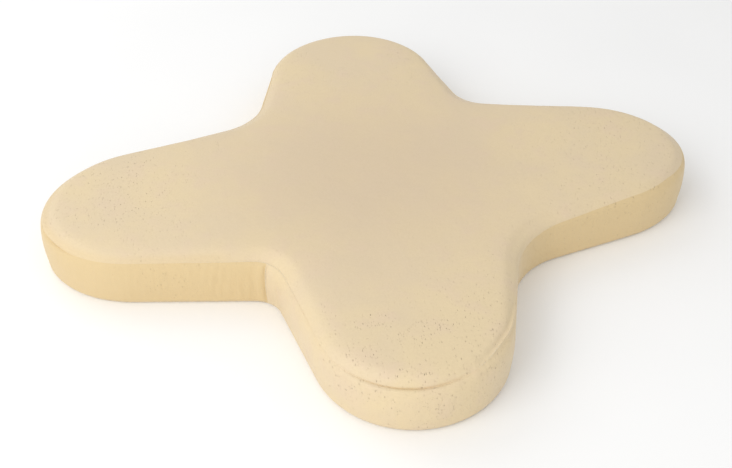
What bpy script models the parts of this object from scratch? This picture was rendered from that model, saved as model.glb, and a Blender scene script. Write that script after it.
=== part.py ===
"""Face cradle cushion: a four-lobed block of foam in a sewn cover, with a zip round the far lobe's end.

Metres, +Z up. The origin is at the centre of the underside. +X runs along the longer pair of lobes and
+Y points at the far lobe.
"""
import math
from collections import namedtuple

import bmesh
import bpy
from mathutils import Vector

MM = 0.001

# Plan of the cushion. Each lobe has a half-ellipse for an end and two straight flanks that spread towards
# the middle. Heading is the way the lobe points, and depth is how far the half-ellipse reaches.
Lobe = namedtuple("Lobe", "name heading reach depth half_width taper")
LOBES = (
    Lobe("right", -0.3, 296 * MM, 103 * MM, 81 * MM, 14.0),
    Lobe("far", 89.4, 260 * MM, 86.5 * MM, 86.5 * MM, 14.5),
    Lobe("left", 183.5, 305.5 * MM, 95.5 * MM, 82.5 * MM, 12.0),
    Lobe("near", 268.5, 269 * MM, 82.5 * MM, 82.5 * MM, 16.0),
)
CORNER_RADII = (32 * MM, 52 * MM, 25 * MM, 71 * MM)   # after each lobe, anticlockwise
END_STEPS = {"right": 12, "far": 20, "left": 12, "near": 12}
CORNER_STEPS = 4
JOIN_STEP = 1                  # where the two lengths of side band meet, in the corner after the left lobe

# Build of the cushion, from the floor up
THICKNESS = 52 * MM
SEAM_HEIGHT = 45.5 * MM        # top seam above the floor
FOAM_JOIN = 25 * MM            # the firm layer ends and the soft one begins
CLOTH = 1.2 * MM
GAP = 0.3 * MM                 # between neighbours that touch
THREAD_RADIUS = 0.35 * MM
THREAD_SIDES = 5
SEAM_WIDTH = 2 * (THREAD_RADIUS + GAP)
CROWN_RUN = 58 * MM            # from the seam to where the top is level
CROWN_STEPS = 6
SHOULDER = 1.2 * MM            # upright edge of the top panel
SEAM_INSET = 1.4 * MM
THREAD_SINK = 0.2 * MM
DISH = 1.2 * MM                # sag at the middle of the top
EDGE_ROLL = 0.5 * MM           # how far a panel turns in at an upright seam
EDGE_RUN = 2 * MM

# Zip, round the end of the far lobe, where the side is part of a circle
FAR = LOBES[1]
ZIP_HEIGHT = 22.5 * MM
ZIP_OPENING = 9 * MM           # between the two folded edges
HEM = 6 * MM
HEM_DEPTH = 1.9 * MM
PANEL_TURN = 71                # half-angle of the stretch of side band that holds the zip
TAPE_TURN = 70
TAPE_WIDTH = 12.5 * MM
TAPE_CLOTH = 0.6 * MM
TOOTH_TURN = 66
TOOTH_COUNT = 44
TOOTH_SHARE = 0.3              # of the pitch
CHAIN_TOP = 0.1 * MM           # the chain's outer and inner faces, in from the side of the cushion
CHAIN_BACK = 1.9 * MM
CHAIN_HALF_WIDTH = 2.9 * MM
SPINE_EDGE = 1.3 * MM
TOOTH_OVERLAP = 0.8 * MM
STOP_TURN = 68
STOP_LENGTH = 1.8 * MM
SLIDER_TURN = -63              # closed, at the right-hand end
SLIDER_LENGTH = 9.5 * MM
SLIDER_PLATE = 1.2 * MM
SLIDER_LIFT = 0.4 * MM
SLIDER_SIDE_GAP = 0.35 * MM
FLANGE = 0.9 * MM
BRIDGE_HEIGHT = 3.2 * MM
BRIDGE_WALL = 0.9 * MM
BRIDGE_WIDTH = 2.4 * MM
BRIDGE_LENGTH = 7.8 * MM
BRIDGE_SHOULDER = 1 * MM
PULL_BAR = 1.3 * MM
PULL_THICKNESS = 1.2 * MM
PULL_WIDTH = 6.6 * MM
PULL_WINDOW = (3.4 * MM, 4.6 * MM)
PULL_LENGTH = 24 * MM
PLATE_RADIUS = FAR.depth - CHAIN_TOP + SLIDER_LIFT + SLIDER_PLATE
PIVOT_RADIUS = PLATE_RADIUS + (BRIDGE_HEIGHT - BRIDGE_WALL) / 2

Station = namedtuple("Station", "point normal roll")


# Plan

def turned(vector, degrees):
    """A flat vector turned anticlockwise."""
    angle = math.radians(degrees)
    cosine, sine = math.cos(angle), math.sin(angle)
    return Vector((vector.x * cosine - vector.y * sine, vector.x * sine + vector.y * cosine))


def lobe_end(lobe):
    """Stations round the end of a lobe, from its clockwise flank to the other."""
    taper = math.radians(lobe.taper)
    limit = math.atan2(lobe.half_width * math.cos(taper), lobe.depth * math.sin(taper))
    steps = END_STEPS[lobe.name]
    stations = []
    for i in range(steps + 1):
        t = limit * (2 * i / steps - 1)
        x = lobe.reach + lobe.depth * (math.cos(t) - 1)
        point = Vector((x, lobe.half_width * math.sin(t)))
        normal = Vector((math.cos(t) / lobe.depth, math.sin(t) / lobe.half_width)).normalized()
        stations.append(Station(turned(point, lobe.heading), turned(normal, lobe.heading), 0))
    return stations


def corner(before, after, radius):
    """Stations round the hollow corner between the flanks that two stations stand on."""
    na, nb = before.normal, after.normal
    reach_a = na.dot(before.point) + radius
    reach_b = nb.dot(after.point) + radius
    cross = na.x * nb.y - na.y * nb.x
    centre = Vector((reach_a * nb.y - reach_b * na.y, na.x * reach_b - nb.x * reach_a)) / cross
    turn = math.degrees(na.angle(nb))
    stations = []
    for i in range(CORNER_STEPS + 1):
        normal = turned(na, -turn * i / CORNER_STEPS)
        stations.append(Station(centre - normal * radius, normal, 0))
    return stations


def plan():
    """Ends and corners of the outline, with the outline's own middle at the origin."""
    ends = [lobe_end(lobe) for lobe in LOBES]
    corners = []
    for i, radius in enumerate(CORNER_RADII):
        corners.append(corner(ends[i][-1], ends[(i + 1) % len(LOBES)][0], radius))
    points = [station.point for run in ends for station in run]
    xs = [point.x for point in points]
    ys = [point.y for point in points]
    middle = Vector(((min(xs) + max(xs)) / 2, (min(ys) + max(ys)) / 2))
    ends = [[moved(station, -middle) for station in run] for run in ends]
    corners = [[moved(station, -middle) for station in run] for run in corners]
    far_centre = turned(Vector((FAR.reach - FAR.depth, 0)), FAR.heading) - middle
    return ends, corners, far_centre


def moved(station, offset):
    return station._replace(point=station.point + offset)


def mix(first, second, share):
    """A station on the flat facet between two others."""
    point = first.point.lerp(second.point, share)
    return Station(point, first.normal.lerp(second.normal, share), 0)


ENDS, CORNERS, FAR_CENTRE = plan()
OUTLINE = [station for end, bend in zip(ENDS, CORNERS) for station in end + bend]
JOIN_CORNER = CORNERS[2]
JOIN = JOIN_CORNER[JOIN_STEP]


def arc_station(degrees, radius_change=0.0):
    """A station on the far lobe's round end, by its angle from the lobe's own line."""
    normal = turned(Vector((1, 0)), FAR.heading + degrees)
    return Station(FAR_CENTRE + normal * (FAR.depth + radius_change), normal, 0)


def facet_station(degrees):
    """The place at an angle on the round end's own facets, so that layers keep their spacing."""
    facets = len(ENDS[1]) - 1
    limit = 90 - FAR.taper
    position = (degrees + limit) / (2 * limit) * facets
    index = int(position)
    return mix(ENDS[1][index], ENDS[1][index + 1], position - index)


# Section through the cover, as (distance in from the outline, height)

def crown(distance):
    """Height of the top panel above its shoulder, which rounds over and levels off."""
    rise = THICKNESS - SEAM_HEIGHT - SEAM_WIDTH / 2 - SHOULDER
    return rise * (1 - (1 - distance / CROWN_RUN) ** 3.2) ** 0.6


def bottom_section():
    return [(12 * MM, 0), (6.5 * MM, 0), (4 * MM, 0.25 * MM), (2.4 * MM, 1 * MM)]


def band_section():
    """Outer face of the side band, upwards. Both edges turn in towards their seams."""
    edge = SEAM_HEIGHT - SEAM_WIDTH / 2
    rise = [(1.5 * MM, 2 * MM), (0.5 * MM, 3.6 * MM), (0, 6 * MM)]
    return rise + [(0, edge - 4.5 * MM), (0.5 * MM, edge - 1.9 * MM), (SEAM_INSET, edge)]


def top_section():
    """Outer face of the top panel, from its edge to where it is level."""
    edge = SEAM_HEIGHT + SEAM_WIDTH / 2
    section = [(SEAM_INSET, edge)]
    for i in range(CROWN_STEPS + 1):
        distance = CROWN_RUN * (i / CROWN_STEPS) ** 1.7
        section.append((SEAM_INSET + 0.4 * MM + distance, edge + SHOULDER + crown(distance)))
    return section


def inward(section, depth):
    """The section moved in by a depth, square to its own run."""
    normals = []
    for (x0, z0), (x1, z1) in zip(section, section[1:]):
        normals.append(Vector((z1 - z0, x0 - x1)).normalized())
    shifted = []
    for i, (x, z) in enumerate(section):
        near = normals[max(i - 1, 0)]
        far = normals[min(i, len(normals) - 1)]
        normal = (near + far).normalized()
        step = normal * (depth / normal.dot(near))
        shifted.append((x + step.x, z + step.y))
    return shifted


def cut_below(section, height):
    """The part of a rising section below a height, ending on it."""
    return [point for point in section if point[1] < height] + [(0, height)]


def cut_above(section, height):
    return [(0, height)] + [point for point in section if point[1] > height]


# Meshes

def add_object(name, mesh_data, material, origin=(0, 0, 0)):
    """An object of the given vertices and faces, with its origin at a chosen place."""
    vertices, faces = mesh_data
    bm = bmesh.new()
    verts = [bm.verts.new(Vector(vertex) - Vector(origin)) for vertex in vertices]
    for face in faces:
        bm.faces.new([verts[i] for i in face])
    bmesh.ops.recalc_face_normals(bm, faces=bm.faces)
    bmesh.ops.triangulate(bm, faces=[face for face in bm.faces if len(face.verts) > 4])
    for face in bm.faces:
        face.smooth = True
    mesh = bpy.data.meshes.new(name)
    bm.to_mesh(mesh)
    bm.free()
    mesh.set_sharp_from_angle(angle=math.radians(35))
    mesh.materials.append(material)
    obj = bpy.data.objects.new(name, mesh)
    obj.location = origin
    bpy.context.collection.objects.link(obj)
    return obj


def sweep(stations, outer, inner, closed=False):
    """A wall between two sections, carried along the stations. The roll of a station moves the outer one."""
    vertices = []
    size = len(outer) + len(inner)
    for station in stations:
        for inset, height in outer:
            vertices.append((*(station.point - station.normal * (inset + station.roll)), height))
        for inset, height in reversed(inner):
            vertices.append((*(station.point - station.normal * inset), height))
    count = len(stations)
    faces = []
    for i in range(count if closed else count - 1):
        a = i * size
        b = (i + 1) % count * size
        for j in range(size):
            k = (j + 1) % size
            faces.append((a + j, b + j, b + k, a + k))
    if not closed:
        faces.append(tuple(range(size)))
        faces.append(tuple(range((count - 1) * size, count * size)))
    return vertices, faces


def layered(stations, rings):
    """A closed body of rings. Each is (inset, height, scale), and a pole closes the first and the last."""
    count = len(stations)
    vertices = []
    for inset, height, scale in rings:
        for station in stations:
            vertices.append((*((station.point - station.normal * inset) * scale), height))
    faces = []
    for ring in range(len(rings) - 1):
        for i in range(count):
            a = ring * count + i
            b = ring * count + (i + 1) % count
            faces.append((a, b, b + count, a + count))
    for ring, pole_height in ((0, rings[0][1]), (len(rings) - 1, rings[-1][1])):
        pole = len(vertices)
        vertices.append((0, 0, pole_height))
        for i in range(count):
            faces.append((ring * count + i, ring * count + (i + 1) % count, pole))
    return vertices, faces


def dished(section):
    """Rings of a face that rises to a level top: the section, then smaller copies that sag a little."""
    inset, height = section[-1]
    rings = [(x, z, 1) for x, z in section]
    for scale in (0.6, 0.25):
        rings.append((inset, height - DISH * (1 - scale ** 2), scale))
    return rings


def prism(outline, low, high, place):
    """An extruded outline. Place turns its two coordinates and the extrusion's into a point."""
    count = len(outline)
    vertices = [place(u, v, low) for u, v in outline] + [place(u, v, high) for u, v in outline]
    faces = [tuple(range(count)), tuple(range(count, 2 * count))]
    for i in range(count):
        k = (i + 1) % count
        faces.append((i, k, k + count, i + count))
    return vertices, faces


def blocks(columns, rows, filled, place):
    """A flat body made of the filled cells of a grid. Place turns a column, a row and a side into a point."""
    vertices = []
    faces = []
    index = {}

    def corner_of(column, row, side):
        key = (column, row, side)
        if key not in index:
            index[key] = len(vertices)
            vertices.append(place(columns[column], rows[row], side))
        return index[key]

    for c, r in filled:
        loop = [(c, r), (c + 1, r), (c + 1, r + 1), (c, r + 1)]
        neighbours = [(c, r - 1), (c + 1, r), (c, r + 1), (c - 1, r)]
        for side in (0, 1):
            faces.append([corner_of(*cell, side) for cell in loop])
        for a, b, neighbour in zip(loop, loop[1:] + loop[:1], neighbours):
            if neighbour not in filled:
                faces.append([corner_of(*a, 0), corner_of(*b, 0), corner_of(*b, 1), corner_of(*a, 1)])
    return vertices, faces


def boolean(target, tool, operation):
    """Combines two objects and hides the second."""
    modifier = target.modifiers.new(tool.name, "BOOLEAN")
    modifier.operation = operation
    modifier.solver = "EXACT"
    modifier.object = tool
    tool.hide_render = True
    tool.display_type = "WIRE"


def make_material(name, colour, roughness, metallic=0.0):
    material = bpy.data.materials.new(name)
    material.use_nodes = True
    shader = material.node_tree.nodes["Principled BSDF"]
    shader.inputs["Base Color"].default_value = (*colour, 1)
    shader.inputs["Roughness"].default_value = roughness
    shader.inputs["Metallic"].default_value = metallic
    return material


# Sub-parts

def build_foam(firm, soft):
    """Two glued layers that fill the cover. They stand back behind the zip's tapes."""
    side = inward(bottom_section() + band_section() + top_section(), CLOTH + GAP)
    relief = HEM_DEPTH + TAPE_CLOTH + 2 * GAP - CLOTH
    stations = []
    for station in OUTLINE:
        step = relief if station in ENDS[1] else 0
        stations.append(moved(station, -station.normal * step))
    lower = [(x, z, 1) for x, z in side if z < FOAM_JOIN]
    lower.append((CLOTH + GAP, FOAM_JOIN, 1))
    upper = [(CLOTH + GAP, FOAM_JOIN + GAP, 1)] + dished([point for point in side if point[1] > FOAM_JOIN])
    add_object("foam_support_layer", layered(stations, lower), firm)
    add_object("foam_comfort_layer", layered(stations, upper), soft)


def build_cover_faces(material):
    top = top_section()
    skin = dished(inward(top, CLOTH))
    add_object("cover_top", layered(OUTLINE, dished(top)[::-1] + skin), material)
    bottom = bottom_section()
    rings = [(x, z, 1) for x, z in bottom + inward(bottom, CLOTH)[::-1]]
    add_object("cover_bottom", layered(OUTLINE, rings), material)


def rolled_edge(seam, beside):
    """Two stations that leave a seam towards the station beside it. The first is turned in."""
    length = (beside.point - seam.point).length
    edge = mix(seam, beside, SEAM_WIDTH / 2 / length)._replace(roll=EDGE_ROLL)
    return [edge, mix(seam, beside, (SEAM_WIDTH / 2 + EDGE_RUN) / length)]


def build_bands(material):
    """Side band: two lengths. They join in a hollow corner, and the zip's strips close the ring."""
    outer = band_section()
    inner = inward(outer, CLOTH)
    before, after = JOIN_CORNER[:JOIN_STEP], JOIN_CORNER[JOIN_STEP + 1:]
    zip_right, zip_left = ENDS[1][0], ENDS[1][-1]
    long_path = rolled_edge(JOIN, after[0]) + after + ENDS[3] + CORNERS[3] + ENDS[0] + CORNERS[0]
    long_path += [zip_right] + rolled_edge(facet_station(-PANEL_TURN), zip_right)[::-1]
    short_path = rolled_edge(facet_station(PANEL_TURN), zip_left) + [zip_left] + CORNERS[1] + ENDS[2]
    short_path += before + rolled_edge(JOIN, before[-1])[::-1]
    add_object("band_near_right", sweep(long_path, outer, inner), material)
    add_object("band_left", sweep(short_path, outer, inner), material)


def build_zip_strips(material):
    """Upper and lower strips either side of the zip. Each folds double along the opening."""
    arc = ENDS[1][1:-1]
    start = rolled_edge(facet_station(-PANEL_TURN), arc[0])
    end = rolled_edge(facet_station(PANEL_TURN), arc[-1])[::-1]
    path = start + arc + end
    low = ZIP_HEIGHT - ZIP_OPENING / 2
    high = ZIP_HEIGHT + ZIP_OPENING / 2
    band = band_section()
    inner = inward(band, CLOTH)
    lower = cut_below(band, low)
    lower_inner = [point for point in inner if point[1] < low - HEM]
    lower_inner += [(CLOTH, low - HEM), (HEM_DEPTH, low - HEM), (HEM_DEPTH, low)]
    upper = cut_above(band, high)
    upper_inner = [(HEM_DEPTH, high), (HEM_DEPTH, high + HEM), (CLOTH, high + HEM)]
    upper_inner += [point for point in inner if point[1] > high + HEM]
    add_object("zip_strip_lower", sweep(path, lower, lower_inner), material)
    add_object("zip_strip_upper", sweep(path, upper, upper_inner), material)


def build_tapes(material):
    front = HEM_DEPTH + GAP
    back = front + TAPE_CLOTH
    path = [facet_station(-TAPE_TURN)] + ENDS[1][1:-1] + [facet_station(TAPE_TURN)]
    for name, side in (("upper", 1), ("lower", -1)):
        near = ZIP_HEIGHT + side * GAP / 2
        far = near + side * TAPE_WIDTH
        mesh_data = sweep(path, [(front, near), (front, far)], [(back, near), (back, far)])
        add_object(f"zip_tape_{name}", mesh_data, material)


def on_arc(turn, height, depth):
    """A point of the zip, by its angle round the lobe, height above the zip's line and depth in."""
    return (*arc_station(turn, -depth).point, ZIP_HEIGHT + height)


def build_teeth(material):
    """Two combs. Each has a spine along its own tape and teeth that reach in between the other's."""
    pitch = 2 * TOOTH_TURN / TOOTH_COUNT
    depths = (CHAIN_TOP, CHAIN_BACK)
    for name, side, phase in (("upper", 1, 0.0), ("lower", -1, 0.5)):
        columns = []
        filled = []
        for i in range(TOOTH_COUNT):
            start = -TOOTH_TURN + (i + phase) * pitch
            columns += [start, start + TOOTH_SHARE * pitch]
            filled += [(2 * i, 0), (2 * i, 1), (2 * i + 1, 1)]
        rows = [-side * TOOTH_OVERLAP, side * SPINE_EDGE, side * CHAIN_HALF_WIDTH]
        mesh_data = blocks(columns, rows, filled[:-1], lambda u, v, face: on_arc(u, v, depths[face]))
        add_object(f"zip_teeth_{name}", mesh_data, material)


def build_stops(material):
    """Two clamps at the closed end, one on each tape, and one across both at the open end."""
    half = math.degrees(STOP_LENGTH / 2 / FAR.depth)
    inner = SPINE_EDGE / 2
    for name, turn, low, high in (
        ("zip_top_stop_upper", -STOP_TURN, inner, CHAIN_HALF_WIDTH),
        ("zip_top_stop_lower", -STOP_TURN, -CHAIN_HALF_WIDTH, -inner),
        ("zip_bottom_stop", STOP_TURN, -CHAIN_HALF_WIDTH, CHAIN_HALF_WIDTH),
    ):
        outline = [(turn - half, low), (turn + half, low), (turn + half, high), (turn - half, high)]
        add_object(name, prism(outline, CHAIN_TOP, CHAIN_BACK, on_arc), material)


def place_on_chain(obj, radius):
    """Puts a piece, modelled with +X outwards and +Y along the chain, at the slider's place."""
    heading = FAR.heading + SLIDER_TURN
    obj.location = (*(FAR_CENTRE + turned(Vector((radius, 0)), heading)), ZIP_HEIGHT)
    obj.rotation_euler = (0, 0, math.radians(heading))


def build_slider(material):
    """A channel that rides over the chain, with a bridge on its back."""
    half = ZIP_OPENING / 2 - SLIDER_SIDE_GAP
    under = PLATE_RADIUS - SLIDER_PLATE
    lip = FAR.depth - CHAIN_BACK + GAP
    bevel = SLIDER_PLATE / 2
    side = [(PLATE_RADIUS, half - bevel), (PLATE_RADIUS - bevel, half), (lip, half), (lip, half - FLANGE),
            (under, half - FLANGE)]
    channel = side + [(radius, -height) for radius, height in reversed(side)]
    ends = (-SLIDER_LENGTH / 2, SLIDER_LENGTH / 2)
    slider = add_object("zip_slider", prism(channel, *ends, lambda r, z, y: (r, y, z)), material)
    place_on_chain(slider, 0)

    foot = PLATE_RADIUS - SLIDER_PLATE / 2
    top = PLATE_RADIUS + BRIDGE_HEIGHT
    reach = BRIDGE_LENGTH / 2
    outer = [(reach, foot), (reach, top - BRIDGE_SHOULDER), (reach - BRIDGE_SHOULDER, top)]
    inner = [(reach - BRIDGE_SHOULDER, top - BRIDGE_WALL),
             (reach - BRIDGE_WALL, top - BRIDGE_SHOULDER), (reach - BRIDGE_WALL, foot)]
    right = outer
    left = [(-y, r) for y, r in reversed(outer)]
    arch = right + left + [(-y, r) for y, r in reversed(inner)] + inner
    width = (-BRIDGE_WIDTH / 2, BRIDGE_WIDTH / 2)
    bridge = add_object("bridge_shape", prism(arch, *width, lambda y, r, z: (r, y, z)), material)
    place_on_chain(bridge, 0)
    boolean(slider, bridge, "UNION")


def build_pull(material):
    """A flat tab. Its end bar turns under the slider's bridge."""
    half = PULL_WIDTH / 2
    back = -PULL_BAR / 2
    outline = [(0, -half), (back, -half + PULL_BAR / 2), (back, half - PULL_BAR / 2), (0, half)]
    end = PULL_LENGTH - half
    for i in range(7):
        angle = math.radians(90 - 30 * i)
        outline.append((end + half * math.cos(angle), half * math.sin(angle)))
    sides = (-PULL_THICKNESS / 2, PULL_THICKNESS / 2)
    pull = add_object("zip_pull", prism(outline, *sides, lambda y, z, r: (r, y, z)), material)
    place_on_chain(pull, PIVOT_RADIUS)

    width, length = PULL_WINDOW
    near = PULL_BAR / 2
    far = near + length
    hole = [(near, -width / 2), (far, -width / 2), (far, width / 2), (near, width / 2)]
    depth = (-PULL_THICKNESS, PULL_THICKNESS)
    window = add_object("window_shape", prism(hole, *depth, lambda y, z, r: (r, y, z)), material)
    place_on_chain(window, PIVOT_RADIUS)
    boolean(pull, window, "DIFFERENCE")


def build_seams(material):
    """Sewing thread in each seam, between the edges it draws together."""
    runs = (
        ("seam_top", band_section()[-1], top_section()[0]),
        ("seam_bottom", bottom_section()[-1], band_section()[0]),
    )
    for name, low, high in runs:
        inset = (low[0] + high[0]) / 2 + THREAD_SINK
        height = (low[1] + high[1]) / 2
        ring = []
        for i in range(THREAD_SIDES):
            angle = 2 * math.pi * i / THREAD_SIDES
            ring.append((inset + THREAD_RADIUS * math.cos(angle), height + THREAD_RADIUS * math.sin(angle)))
        add_object(name, sweep(OUTLINE, ring, [], closed=True), material)
    add_object("seam_left_near", upright_thread(JOIN), material)
    add_object("seam_zip_right", upright_thread(facet_station(-PANEL_TURN)), material)
    add_object("seam_zip_left", upright_thread(facet_station(PANEL_TURN)), material)


def upright_thread(station):
    """A thread that climbs the side band between two lengths of it."""
    line = inward(band_section(), CLOTH / 2)[1:-1]
    vertices = []
    for inset, height in line:
        centre = station.point - station.normal * inset
        for i in range(4):
            vertices.append((*(centre + turned(station.normal, 90 * i) * THREAD_RADIUS), height))
    faces = [(0, 1, 2, 3), tuple(range(len(vertices) - 4, len(vertices)))]
    for ring in range(len(line) - 1):
        for i in range(4):
            a = 4 * ring + i
            b = 4 * ring + (i + 1) % 4
            faces.append((a, b, b + 4, a + 4))
    return vertices, faces


def build():
    for obj in list(bpy.data.objects):
        bpy.data.objects.remove(obj, do_unlink=True)
    cover = make_material("cream_cover", (0.74, 0.64, 0.45), 0.6)
    thread = make_material("cream_thread", (0.70, 0.60, 0.42), 0.7)
    tape = make_material("zip_tape", (0.72, 0.64, 0.48), 0.85)
    nylon = make_material("zip_nylon", (0.70, 0.62, 0.47), 0.45)
    metal = make_material("zip_metal", (0.62, 0.60, 0.56), 0.3, 1.0)
    firm = make_material("foam_firm", (0.80, 0.80, 0.76), 0.9)
    soft = make_material("foam_soft", (0.90, 0.86, 0.70), 0.9)
    build_foam(firm, soft)
    build_cover_faces(cover)
    build_bands(cover)
    build_zip_strips(cover)
    build_seams(thread)
    build_tapes(tape)
    build_teeth(nylon)
    build_stops(metal)
    build_slider(metal)
    build_pull(metal)


build()
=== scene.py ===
"""Looks of the face cradle cushion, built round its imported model. Metres, +Z up.

The cover's outer face is one surface: a section, carried round the plan. Each sewn piece is a part of it.
A place is a distance along the plan's outline, and a run is a distance up the section.
"""

import math
from collections import Counter, namedtuple

import bpy
import numpy as np
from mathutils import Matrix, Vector, noise
from mathutils.bvhtree import BVHTree


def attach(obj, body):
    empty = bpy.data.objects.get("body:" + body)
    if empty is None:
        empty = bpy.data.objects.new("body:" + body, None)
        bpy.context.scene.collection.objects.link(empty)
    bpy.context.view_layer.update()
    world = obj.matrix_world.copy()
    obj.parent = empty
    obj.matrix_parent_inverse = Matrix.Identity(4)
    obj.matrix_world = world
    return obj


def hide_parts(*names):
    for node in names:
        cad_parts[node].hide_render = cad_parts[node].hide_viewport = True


MM = 0.001
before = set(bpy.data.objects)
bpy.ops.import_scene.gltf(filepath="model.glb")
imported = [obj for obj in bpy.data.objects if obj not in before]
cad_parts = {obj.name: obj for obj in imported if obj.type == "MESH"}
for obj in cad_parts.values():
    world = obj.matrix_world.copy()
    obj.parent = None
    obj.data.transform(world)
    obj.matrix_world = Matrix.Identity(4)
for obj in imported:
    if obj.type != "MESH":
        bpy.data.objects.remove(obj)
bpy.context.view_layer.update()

# The plan, as the CAD has it
Lobe = namedtuple("Lobe", "name heading reach depth half_width taper")
LOBES = (
    Lobe("right", -0.3, 296 * MM, 103 * MM, 81 * MM, 14.0),
    Lobe("far", 89.4, 260 * MM, 86.5 * MM, 86.5 * MM, 14.5),
    Lobe("left", 183.5, 305.5 * MM, 95.5 * MM, 82.5 * MM, 12.0),
    Lobe("near", 268.5, 269 * MM, 82.5 * MM, 82.5 * MM, 16.0),
)
CORNER_RADII = (32 * MM, 52 * MM, 25 * MM, 71 * MM)   # after each lobe, anticlockwise
FAR = LOBES[1]
END_STEPS = 96                 # round a lobe's end
CORNER_STEPS = 24
JOIN_CORNER = 2                # the upright seam is in the corner after the left lobe
JOIN_STEP = 9                  # of the steps round that corner
ZIP_TURN = 71.0                # half-angle of the zip's stretch of the side

# The section, upwards from the bottom seam, in mm: distance in from the outline, height
SECTION = (
    (2.4, 0.9), (1.5, 2.0), (0.5, 3.8), (0, 7), (-0.7, 14), (-1.0, 22), (-0.8, 30), (-0.1, 37.5),
    (0.7, 41.5), (1.9, 44.3), (3.9, 46.5), (7.5, 48.5), (13, 50.0), (22, 51.1), (36, 51.8), (60, 52),
)
# The turned-in edge of the bottom panel, from the bottom seam inwards, in the same way
BOTTOM_EDGE = ((2.9, 1.7), (2.5, 1.1), (3.0, 0.5), (4.4, 0.15), (6.5, 0.02), (12, 0), (30, 0), (58, 0))
SLOPE_STEP = 0.2 * MM          # over which the section's slope is measured
SHOULDER_RUN = 48 * MM         # up the section, to the middle of the rounded edge
SHOULDER_SPREAD = 9 * MM
DISH = 3.0 * MM                # sag at the middle of the top
DISH_SPREAD = 120 * MM
TOP_WAVES = ((0.7, 95, 0.0), (0.3, 38, 7.0))     # height in mm, length in mm, seed
TOP_CALM = 25 * MM             # from the top seam, over which the waves grow from nothing

# Course of the top seam: heading from the middle, distance up the section in mm
SEAM_COURSE = (
    (10, 47), (90, 47), (170, 46), (189, 43.5), (196, 45), (211, 45.5), (223, 47), (240, 46.5),
    (255, 45.5), (262, 46), (269, 47.5), (274, 49.5), (279, 50.5), (284, 52), (287, 51), (291, 47.5),
    (295, 44), (300, 41), (310, 40), (322, 41), (333, 45), (341, 48.5), (348, 51), (354, 48),
)

# How the sewn cloth varies round the plan, as peaks: amount in mm, heading from the middle, spread
SLACK = ((2.4, 238, 20), (1.2, 205, 18))         # the shoulder falls in
CRISP = ((1.1, 306, 16), (0.7, 335, 18))         # the shoulder stands out
SEAM_CREASE = ((2.3, 267, 11), (1.6, 190, 4), (0.2, 340, 18))
SEAM_RIDGE = ((1.2, 287, 8),)                    # a pinched edge, right of the deep crease
GATHERS = ((0.45, 280, 7), (0.18, 214, 15))
WRINKLES = ((0.30, 214, 13), (0.05, 318, 12))

# Depths and widths of the cloth beside its seams
TOP_FOLD_WIDTH = 4.5 * MM      # on the top panel
SIDE_FOLD_WIDTH = 2.4 * MM     # on the side
PINCH_WIDTH = 1.0 * MM         # where the stitches pull the top seam in or stand it up
RIDGE_HOLLOW = 2.8 * MM        # from the ridge to the hollow beside it
RIDGE_HOLLOW_WIDTH = 1.4 * MM
UPRIGHT_FOLD = 1.6 * MM
UPRIGHT_FOLD_WIDTH = 1.5 * MM
UPRIGHT_SWELL = 0.4 * MM
UPRIGHT_SWELL_PLACE = 4.5 * MM                   # from the seam
UPRIGHT_SWELL_WIDTH = 2.5 * MM
UPRIGHT_CLOSING = 3 * MM       # near the long seams, over which an upright fold closes up
BOTTOM_FOLD = 0.5 * MM
BOTTOM_FOLD_WIDTH = 2.2 * MM
HEM_ROLL = 1.3 * MM
HEM_ROLL_WIDTH = 0.8 * MM
CLOTH = 1.1 * MM
THREAD = 0.4 * MM              # radius
THREAD_SINK = 0.55 * MM
BOTTOM_SEAM = (2.7 * MM, 1.35 * MM)              # distance in, height
THREAD_START = 1.5 * MM        # of an upright thread, up the section
THREAD_STOP = 0.5 * MM         # of an upright thread, short of the top seam
STITCH = 3 * MM

# How finely the cover is drawn
SIDE_STEP = 1.8 * MM           # between points along the outline
SEAM_STEPS = (0, 0.35, 0.75, 1.2, 1.7, 2.3, 3.0, 4.0)   # mm from an upright seam
SEAM_MARGIN = 6 * MM           # from an upright seam to the first even step
BAND_ROWS = 28
BAND_PACKING = 0.93            # how far the rows crowd towards the two long seams: 0 is even
TOP_RINGS = 26
TOP_PACKING = 1.9              # how far the rings crowd towards the seam: 1 is even
INNER_SCALES = np.linspace(1, 0, 16)[1:-1]
LID_SCALES = (0.8, 0.6, 0.4, 0.2)

# Cloth simulation
SIM_STEP = 6 * MM              # between the form's points, and across its voxels
SIM_ROWS = 24
SIM_INSET = 2 * MM             # the form starts this much smaller, and swells
SIM_FRAMES = 20
SIM_CAP = 6 * MM               # the furthest that a point may move
LIFT_LIMITS = (-1.0 * MM, 1.4 * MM)
LIFT_REACH = 14 * MM
FLAT_RUN = 8 * MM              # up the side, over which the swelling grows from nothing

# Foam
FOAM_INSET = 6 * MM
FOAM_BOTTOM = 3 * MM
FOAM_JOIN = 25 * MM
FOAM_SHOULDER = 42 * MM
FOAM_GAP = 0.3 * MM
FOAM_STEP = 5 * MM

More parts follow.
